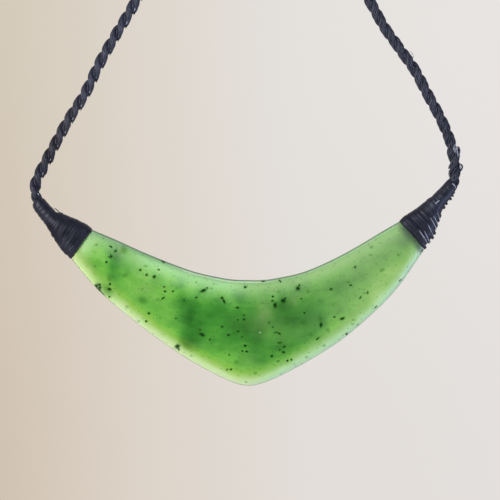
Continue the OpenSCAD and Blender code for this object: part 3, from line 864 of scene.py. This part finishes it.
def strand_mesh(name, lines, sides=1):
    """Round strands as one mesh. Each line is a list of (place in metres, radius in metres)."""
    curve = bpy.data.curves.new(name, "CURVE")
    curve.dimensions = "3D"
    curve.bevel_depth = MM
    curve.bevel_resolution = sides
    curve.use_fill_caps = True
    for line in lines:
        spline = curve.splines.new("POLY")
        spline.points.add(len(line) - 1)
        for point, (place, radius) in zip(spline.points, line):
            point.co = (*place, 1)
            point.radius = radius / MM
    holder = in_scene(name, curve)
    bpy.context.view_layer.update()
    mesh = bpy.data.meshes.new_from_object(holder.evaluated_get(bpy.context.evaluated_depsgraph_get()))
    bpy.data.objects.remove(holder)
    bpy.data.curves.remove(curve)
    return mesh


class NECKLACE_OT_lashings(bpy.types.Operator):
    """Winds a waxed thread round each end of the jade and on along the cord's end"""
    bl_idname = "necklace.lashings"
    bl_label = "Wind the Lashings"

    def execute(self, context):
        thread = context.scene.necklace_thread
        material = waxed_thread(thread, "waxed_lashing_thread", LASHING_FIBRE, 0.0, WAX)
        for name, end, habit in (("lashing_left", LEFT_END, LEFT_WINDING),
                                 ("lashing_right", RIGHT_END, RIGHT_WINDING)):
            mesh = mesh_from(name + "_thread", winding(end, habit), sleeve(end))
            piece(name + "_thread", mesh, material, "waxed_thread", name)
        return {"FINISHED"}


YARN_STEP = 0.42
COUNTER_TWIST = 1.35
INNER_R = 0.87
BORE_GRIP, BORE_OPENING = 0.86, 1.4
# A ply's outermost yarn stands off and hangs back where the ply goes behind the other.
HOOK_AT, HOOK_SPAN, HOOK_DROP, HOOK_SHARE = 150.0, 26.0, 0.4, (0.35, 1.15)
LEFT_TWIST = {"lay": 1, "turn": -12, "half_width": 1.06, "hook": 0.3, "fill": 0.72}
RIGHT_TWIST = {"lay": -1, "turn": 46, "half_width": 1.26, "hook": 0.25, "fill": 0.92}
# Here and there a yarn has slipped and stands proud: how often, how high and over what length.
SLIPS, SLIP_HIGH, SLIP_LONG, SLIP_AFTER, SLIP_BEFORE = 3, (0.12, 0.34), (1.0, 2.0), 4, 10
YARN_SHARE = (0.94, 1.08)
# A noise turns each yarn and moves it in and out. The three numbers of its scale are for the cord's
# length, the yarn and the ply.
WOBBLE_SCALE, WOBBLE_TURN, WOBBLE_OUT = (0.32, 7.1, 3.7), 0.22, 0.05
# The core's yarns: place out from the ply's middle, place across, and radius.
CORE = [(-.06, -.45, .42), (-.06, 0, .42), (-.06, .45, .42), (-.66, -.24, .3), (-.66, .24, .3)]
GROOVE_R, POINT_LEAST = 0.3, 0.75
# At each turn the left cord's plies end in a dark point, with a pale strand above it as a painted
# highlight: run from the angle TIP_AT, place across the cord, depth and radius.
TIP_AT, TIP_CLEAR = 105.0, 4.0
POINT = [(1.5, -1.5, .4, .24), (.7, -1.54, .3, .24), (0, -1.56, .2, .18), (-.5, -1.56, .1, .04)]
TIP_GLINT = [(2.3, -.92, -.66, .06), (1.7, -1, -.64, .18), (1, -1.1, -.5, .19), (.5, -1.15, -.36, .05)]


def beside(route, s, x, y):
    """A place beside a cord's middle line, x to its upper side and y deep."""
    c, n = route.place(s), route.across(s)
    return hung(Vector((c.x + n.x * x, y, c.y + n.y * x)))


def tip_lines(route, start, table, rng, least):
    """One short tapered strand for each turn of a ply, at its tip. The least is its thinnest share."""
    lines = []
    for k in range(int(route.length / LEAD) + 1):
        s, thick = ((TIP_AT - start) / 360 % 1 + k) * LEAD, rng.uniform(least, 1.0)
        if route.run_at(NECK_TO) + TIP_CLEAR < s < route.length - TIP_CLEAR:
            lines.append([(beside(route, s + ds, x, y), r * thick * MM) for ds, x, y, r in table])
    return lines


def ply_lines(route, twist, start, thread, seed):
    """The yarns of one ply. They turn back against the cord's lay, so that they lie nearly along it."""
    rng = random.Random(seed)
    radius = thread.yarn_radius / MM
    count = int(route.length / YARN_STEP)
    mouth = route.run_at(NECK_TO)
    lay = twist["lay"]
    drop = HOOK_DROP if lay > 0 else 0.0
    habits = [rng.uniform(*HOOK_SHARE) for _ in range(int(route.length / LEAD) + 2)]
    lines = []

    def place(s, u, v, drop=0.0):
        a = math.radians(start + lay * 360 * s / LEAD)
        grip = BORE_GRIP + (1 - BORE_GRIP) * ease((s - mouth) / BORE_OPENING)
        return beside(route, s - drop, grip * ((PLY_OFFSET + u) * math.cos(a) - v * math.sin(a)),
                      grip * ((PLY_OFFSET + u) * math.sin(a) + v * math.cos(a)))

    def hook(s):
        whole, turned = divmod(start + lay * 360 * s / LEAD, 360)
        habit = habits[int(abs(whole)) % len(habits)]
        return habit * bell(turned - HOOK_AT, HOOK_SPAN) * ease((s - mouth + 1) / 2)

    for i in range(thread.yarns):
        slips = [(rng.uniform(mouth + SLIP_AFTER, route.length - SLIP_BEFORE), rng.uniform(*SLIP_HIGH),
                  rng.uniform(*SLIP_LONG)) for _ in range(SLIPS)]
        thick = rng.uniform(*YARN_SHARE)
        line = []
        for k in range(count + 1):
            s = route.length * k / count
            wobble = noise.noise(Vector([a * b for a, b in zip((s, i, seed), WOBBLE_SCALE)]))
            slip = sum(h * bell(s - at, w) for at, h, w in slips)
            psi = (math.tau * i / thread.yarns - lay * COUNTER_TWIST * math.tau * s / LEAD
                   + WOBBLE_TURN * wobble)
            off = 1 + WOBBLE_OUT * wobble
            out = math.cos(psi)
            outer = max(0.0, out)
            u = ((PLY_HALF_R if out > 0 else INNER_R) - radius) * out * off
            u += slip * outer + twist["hook"] * hook(s) * outer ** 3
            v = (twist["half_width"] - radius) * math.sin(psi) * off
            line.append((place(s, u, v, drop * hook(s) * outer ** 3), radius * thick * MM))
        lines.append(line)
    # The core, and one yarn that lies in the groove beside the other ply.
    for u, v, thick in CORE + [(-PLY_OFFSET, twist["fill"], GROOVE_R)]:
        lines.append([(place(route.length * k / count, u, v), thick * MM) for k in range(count + 1)])
    return lines + (tip_lines(route, start, POINT, rng, POINT_LEAST) if lay > 0 else [])


class NECKLACE_OT_cords(bpy.types.Operator):
    """Twists the two plies of each cord from waxed yarns"""
    bl_idname = "necklace.cords"
    bl_label = "Twist the Cords"

    def execute(self, context):
        thread = context.scene.necklace_thread
        material = waxed_thread(thread, "waxed_cord_yarn", CORD_FIBRE, CORD_WEAR, WAX)
        for side, route, twist, seed in (("left", LEFT, LEFT_TWIST, 11), ("right", RIGHT, RIGHT_TWIST, 16)):
            for half, letter in enumerate("ab"):
                name = f"cord_{side}_ply_{letter}"
                lines = ply_lines(route, twist, twist["turn"] + 180 * half, thread, seed + half)
                piece(name + "_yarns", strand_mesh(name + "_yarns", lines), material, "waxed_cord", name)
        return {"FINISHED"}


# Threads that stand proud or have come loose: points over the front as x and z, radius, and height.
LEFT_STREAKS = [
    ([(-52.5, 15.7), (-53.3, 14.3), (-54.4, 12.8), (-55.6, 11.3), (-56.3, 10.3)], .22, .02),
    ([(-52.6, 13.1), (-53.6, 11.8), (-54.9, 10.4)], .22, .03),
    ([(-52.6, 13.8), (-51.6, 13.5), (-50.8, 12.7)], .14, 0),
    ([(-52.3, 10.7), (-53.4, 9.6), (-54.2, 8.5)], .22, .02),
]
# The right lashing's streaks are drawn in the pale filament, as painted highlights on its proud threads.
RIGHT_GLINT_STREAKS = [
    ([(50.5, 14.9), (51.3, 13.7), (52.2, 12.4), (53, 11.2)], .15, .02),
    ([(52, 14.6), (52.7, 13.5), (53.3, 12.2), (53.7, 11.2)], .12, .02),
    ([(53, 16.9), (53.6, 15.7), (54.2, 14.5), (54.7, 13.5)], .13, .03),
    ([(53.9, 18.6), (54.7, 17.3), (55.4, 16), (55.9, 15)], .13, .03),
    ([(54.7, 19.2), (55.4, 18.2), (56.1, 17), (56.5, 16.3)], .11, .03),
    ([(55.9, 20.1), (56.5, 19.1), (57.1, 18.1)], .1, .03),
    ([(55.3, 22.7), (55.8, 23.2), (56.3, 23.6), (56.8, 24)], .17, .08),
    ([(60.4, 28.9), (60.9, 28.6), (61.3, 28.1), (61.5, 27.5)], .2, .06),
]
# A loop of loose thread above the left lashing.
LOOP = [(-58.7, 21.6), (-58.2, 21.2), (-57.8, 20.95), (-57.5, 20.65), (-57.2, 20.35), (-56.9, 20.15),
        (-56.5, 20.1), (-56.2, 19.9), (-55.9, 19.5), (-55.6, 19)]
LOOP_R, LOOP_DEPTH = 0.15, -0.4
# Filaments that stick out of the cords: x, depth and z of their points, and the radius.
# The pale ones are loose filaments drawn pale, as painted highlights and bright gaps in the fuzz.
PALE_FUZZ_GLINTS = [
    ([(61.5, -1.7, 40.8), (60.9, -1.85, 39.4), (61.2, -1.75, 38.2)], .17),
    ([(61.5, -1.7, 40.6), (61.8, -1.7, 39.4), (62.1, -1.4, 38.3), (62.3, -1.1, 37.3), (62.3, -1, 36.7)], .17),
    ([(61.3, -1.85, 39.9), (61.4, -1.85, 38.9), (61.7, -1.7, 37.9)], .14),
    ([(63, -.9, 34.8), (62.9, -1, 33.9), (63, -.8, 33.1)], .14),
    ([(-63.5, -1.5, 26), (-63.3, -1.6, 25.7), (-63.1, -1.5, 25.4)], .2),
    ([(47.8, -.4, 68.5), (48.2, -.4, 68.4), (48.6, -.4, 68), (48.9, -.4, 67.5), (49, -.4, 67.1),
      (48.9, -.4, 66.7), (48.6, -.4, 66.3)], .09),
]
DARK_FUZZ = [
    ([(62.2, -.6, 40.1), (62.6, -.6, 39.6), (62.8, -.6, 38.9), (62.7, -.6, 38), (62.6, -.5, 37.5)], .3),
    ([(62.4, -.5, 37.7), (62.8, -.5, 37.2), (62.7, -.4, 36.6)], .24),
    ([(63.1, -.3, 34.9), (63.5, -.3, 34.4), (63.7, -.3, 33.9), (63.4, -.3, 33.1), (63.1, -.3, 32.6)], .27),
    ([(60.1, -.3, 34.8), (59.8, -.3, 34), (59.6, -.3, 33.3)], .32),
    ([(59.8, -.3, 33), (59.8, -.2, 31.9), (60.1, -.2, 30.9), (60.4, -.2, 30.2)], .34),
    ([(-53.9, -.3, 47.6), (-53.8, -.3, 46.6), (-53.9, -.3, 45.8)], .13),
]
FRONT_STEPS = 240
TIP_GLINT_SEED, TIP_GLINT_LEAST = 3, 0.3


def lashing_front(end, x, z, proud):
    """The place on the lashing's front over this x and z, raised by a few hundredths of a millimetre."""
    best = None
    for i in range(FRONT_STEPS + 1):
        f = (len(end[0]) + 1) * i / FRONT_STEPS
        section = wrap_section(end, f)
        upper, lower = Vector(section[0:2]), Vector(section[2:4])
        along, arm = (upper - lower).normalized(), Vector((x, z)) - (upper + lower) / 2
        miss = abs(arm.x * along.y - arm.y * along.x)
        if best is None or miss < best[0]:
            share = min(1.0, abs(arm.dot(along)) / ((upper - lower).length / 2))
            power = wrap_power(end, f)
            best = (miss, section[4] * (1 - share ** power) ** (1 / power))
    return hung(Vector((x, -best[1] - proud, z)))


def tapered(points, radius):
    """The points with the radius that each has: full, and half of that at both ends."""
    return [(p, radius * MM * (0.5 if i in (0, len(points) - 1) else 1)) for i, p in enumerate(points)]


def streaks(end, table):
    return [tapered([lashing_front(end, x, z, h) for x, z in points], r) for points, r, h in table]


def fuzz(table):
    return [tapered([hung(Vector(p)) for p in points], r) for points, r in table]


class NECKLACE_OT_loose_ends(bpy.types.Operator):
    """Adds the proud and frayed threads of the lashings and cords, with pale strands as painted highlights"""
    bl_idname = "necklace.loose_ends"
    bl_label = "Add the Loose Ends"

    def execute(self, context):
        thread = context.scene.necklace_thread
        waxed = waxed_thread(thread, "waxed_proud_thread", LASHING_FIBRE, PROUD_WEAR, PROUD_WAX)
        frayed = frayed_filament_and_glint(thread)
        left = streaks(LEFT_END, LEFT_STREAKS) + fuzz([([(x, LOOP_DEPTH, z) for x, z in LOOP], LOOP_R)])
        right = streaks(RIGHT_END, RIGHT_GLINT_STREAKS)
        rng = random.Random(TIP_GLINT_SEED)
        tip_glints = [line for half in (0, 180)
                 for line in tip_lines(LEFT, LEFT_TWIST["turn"] + half, TIP_GLINT, rng, TIP_GLINT_LEAST)]
        for name, lines, sides, material, slot in (
                ("proud_threads_left", left, 2, waxed, "waxed_thread"),
                ("proud_threads_right_glints", right, 2, frayed, "waxed_thread"),
                ("frayed_filament_glints", fuzz(PALE_FUZZ_GLINTS), 2, frayed, "waxed_cord"),
                ("proud_yarns", fuzz(DARK_FUZZ), 2, waxed, "waxed_cord"),
                ("tip_glint_strands", tip_glints, 1, frayed, "waxed_cord")):
            piece(name, strand_mesh(name, lines, sides), material, slot)
        return {"FINISHED"}


class NECKLACE_OT_clasp(bpy.types.Operator):
    """Gives the barrel clasp its blackened finish"""
    bl_idname = "necklace.clasp"
    bl_label = "Finish the Clasp"

    def execute(self, context):
        material = blackened_steel(context.scene.necklace_clasp)
        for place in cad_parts["neck_clasp"].material_slots:
            place.material = material
        return {"FINISHED"}


# The stage's sizes are metres, and the camera's sensor width is millimetres.
AIM_Z = -0.156
WALL_DISTANCE, WALL_HALF, FLOOR_Z = 2.0, 3.0, -0.70
SENSOR_WIDTH = 36.0
# The wall's painted light, its colours from left to right, low down and high up, and the half width and
# height they span.
WALL_STOPS = (0.0, 0.3, 0.6, 1.0)
WALL_LOW = ("CEBFAE", "DDD3C8", "E2DDD8", "E4E0DE")
WALL_HIGH = ("D3C8B6", "DED6CC", "E5E2DE", "E8E4E2")
WALL_SPAN, WALL_RISE = 0.36, 0.33
# Each soft light's place, size, share of the key's power, and colour.
SOFT_LIGHTS = {
    "key": ((-0.70, -0.84, -0.02), 0.45, 1, "FFF8F0"),
    "window": ((0.80, -0.42, -0.45), 0.5, 0.32, "D0DCFF"),
}
# The backdrop's strength, the share of the light that comes from the dark side, and the stretch, from
# straight away from the wall towards it, over which that grows to the whole.
BACKDROP, DARK_SIDE, ROOM_TURN = 0.9, 0.2, (-1, 0.2)


def plain_sheet(name, corners, material):
    """A flat four-sided stage piece from its corners."""
    bm = bmesh.new()
    bmesh.ops.create_grid(bm, x_segments=1, y_segments=1, size=1)
    for vert, corner in zip(bm.verts, corners):
        vert.co = corner
    made = in_scene(name, mesh_from(name, bm))
    made.data.materials.append(material)


def painted_wall():
    """The wall as a glowing backdrop with the light on it painted in: warm beige at the left and cool
    light grey at the right, as lit from the right.
    """
    material, add, _ = material_named("wall_painted_light")
    material.node_tree.nodes.clear()
    place = add("TexCoord", out="Object")
    x, z = (add("SeparateXYZ", [place], axis) for axis in "XZ")
    across = add("MapRange", [x, -WALL_SPAN, WALL_SPAN])
    low, high = (add("ValToRGB", [across], stops=zip(WALL_STOPS, colours))
                 for colours in (WALL_LOW, WALL_HIGH))
    colour = blended(add, low, high, z, AIM_Z - WALL_RISE, AIM_Z + WALL_RISE, 1.0)
    glow = add("Emission", {"Color": colour, "Strength": 1.0})
    add("OutputMaterial", {"Surface": glow})
    return material


def floor_paint():
    """Matt floor paint: pale, with no shine."""
    material, _, shader = material_named("pale_floor_paint")
    fill(shader, {"Base Color": "E2DDD8", "Roughness": 0.8})
    return material


def soft_light(name, place, size, power, colour):
    """A square soft box that faces the blade."""
    data = bpy.data.lights.new(name, "AREA")
    data.size, data.energy, data.color = size, power, linear(colour)[:3]
    light = in_scene(name, data, place)
    light.rotation_euler = (Vector((0, 0, AIM_Z)) - Vector(place)).to_track_quat("-Z", "Y").to_euler()


def soft_room(strength):
    """The room's even light: strong from the pale wall's side, weak from the dark side that faces it."""
    world = bpy.data.worlds.new("soft_room")
    world.use_nodes = True
    world.node_tree.nodes.clear()
    add = partial(add_node, world.node_tree)
    direction = add("TexCoord", out="Generated")
    toward_wall = add("SeparateXYZ", [direction], "Y")
    share = add("MapRange", [toward_wall, *ROOM_TURN, DARK_SIDE * strength, strength],
                interpolation_type="SMOOTHSTEP")
    # The camera sees the same plain pale backdrop on every side.
    seen = add("LightPath", out="Is Camera Ray")
    share = add("MapRange", [seen, 0, 1, share, BACKDROP])
    light = add("Background", {"Color": "E6E3E0", "Strength": share})
    add("OutputWorld", {"Surface": light})
    return world


class NECKLACE_OT_stage(bpy.types.Operator):
    """Sets the camera, the wall, the floor and the soft lights"""
    bl_idname = "necklace.stage"
    bl_label = "Set the Stage"

    def execute(self, context):
        stage, scene = context.scene.necklace_stage, context.scene
        data = bpy.data.cameras.new("camera")
        data.sensor_width = SENSOR_WIDTH
        data.lens = data.sensor_width * stage.distance / stage.frame_width
        scene.camera = in_scene("camera", data, (0, -stage.distance, AIM_Z))
        scene.camera.rotation_euler = (math.radians(90), 0, 0)

        y, w, z = WALL_DISTANCE, WALL_HALF, FLOOR_Z
        plain_sheet("wall", ((-w, y, z), (w, y, z), (-w, y, w), (w, y, w)), painted_wall())
        plain_sheet("floor", ((-w, -w, z), (w, -w, z), (-w, y, z), (w, y, z)), floor_paint())

        scene.world = soft_room(stage.room_light)
        for name, (place, size, share, colour) in SOFT_LIGHTS.items():
            soft_light(name, place, size, stage.key_power * share, colour)
        scene.view_settings.view_transform = "Standard"
        return {"FINISHED"}


GROUPS = {"necklace_jade": NecklaceJade, "necklace_thread": NecklaceThread,
          "necklace_clasp": NecklaceClasp, "necklace_stage": NecklaceStage}
# The operators in the order in which they are called, with the settings that each one reads.
OPERATORS = ((NECKLACE_OT_stage, "necklace_stage"), (NECKLACE_OT_jade, "necklace_jade"),
             (NECKLACE_OT_lashings, "necklace_thread"), (NECKLACE_OT_cords, "necklace_thread"),
             (NECKLACE_OT_loose_ends, "necklace_thread"), (NECKLACE_OT_clasp, "necklace_clasp"))


class NECKLACE_PT_panel(bpy.types.Panel):
    """Lists what makes the necklace"""
    bl_label = "Necklace"
    bl_idname = "NECKLACE_PT_panel"
    bl_space_type = "VIEW_3D"
    bl_region_type = "UI"
    bl_category = "Necklace"

    def draw(self, context):
        for operator, group in OPERATORS:
            box = self.layout.box()
            settings = getattr(context.scene, group)
            for key in GROUPS[group].__annotations__:
                box.prop(settings, key)
            box.operator(operator.bl_idname)


CLASSES = (*GROUPS.values(), *(operator for operator, _ in OPERATORS), NECKLACE_PT_panel)


def register():
    for cls in CLASSES:
        bpy.utils.register_class(cls)
    for name, cls in GROUPS.items():
        setattr(bpy.types.Scene, name, bpy.props.PointerProperty(type=cls))


def unregister():
    for name in GROUPS:
        delattr(bpy.types.Scene, name)
    for cls in reversed(CLASSES):
        bpy.utils.unregister_class(cls)


def main():
    register()
    bpy.ops.necklace.stage()
    bpy.ops.necklace.jade()
    bpy.ops.necklace.lashings()
    bpy.ops.necklace.cords()
    bpy.ops.necklace.loose_ends()
    bpy.ops.necklace.clasp()


if __name__ == "__main__":
    main()
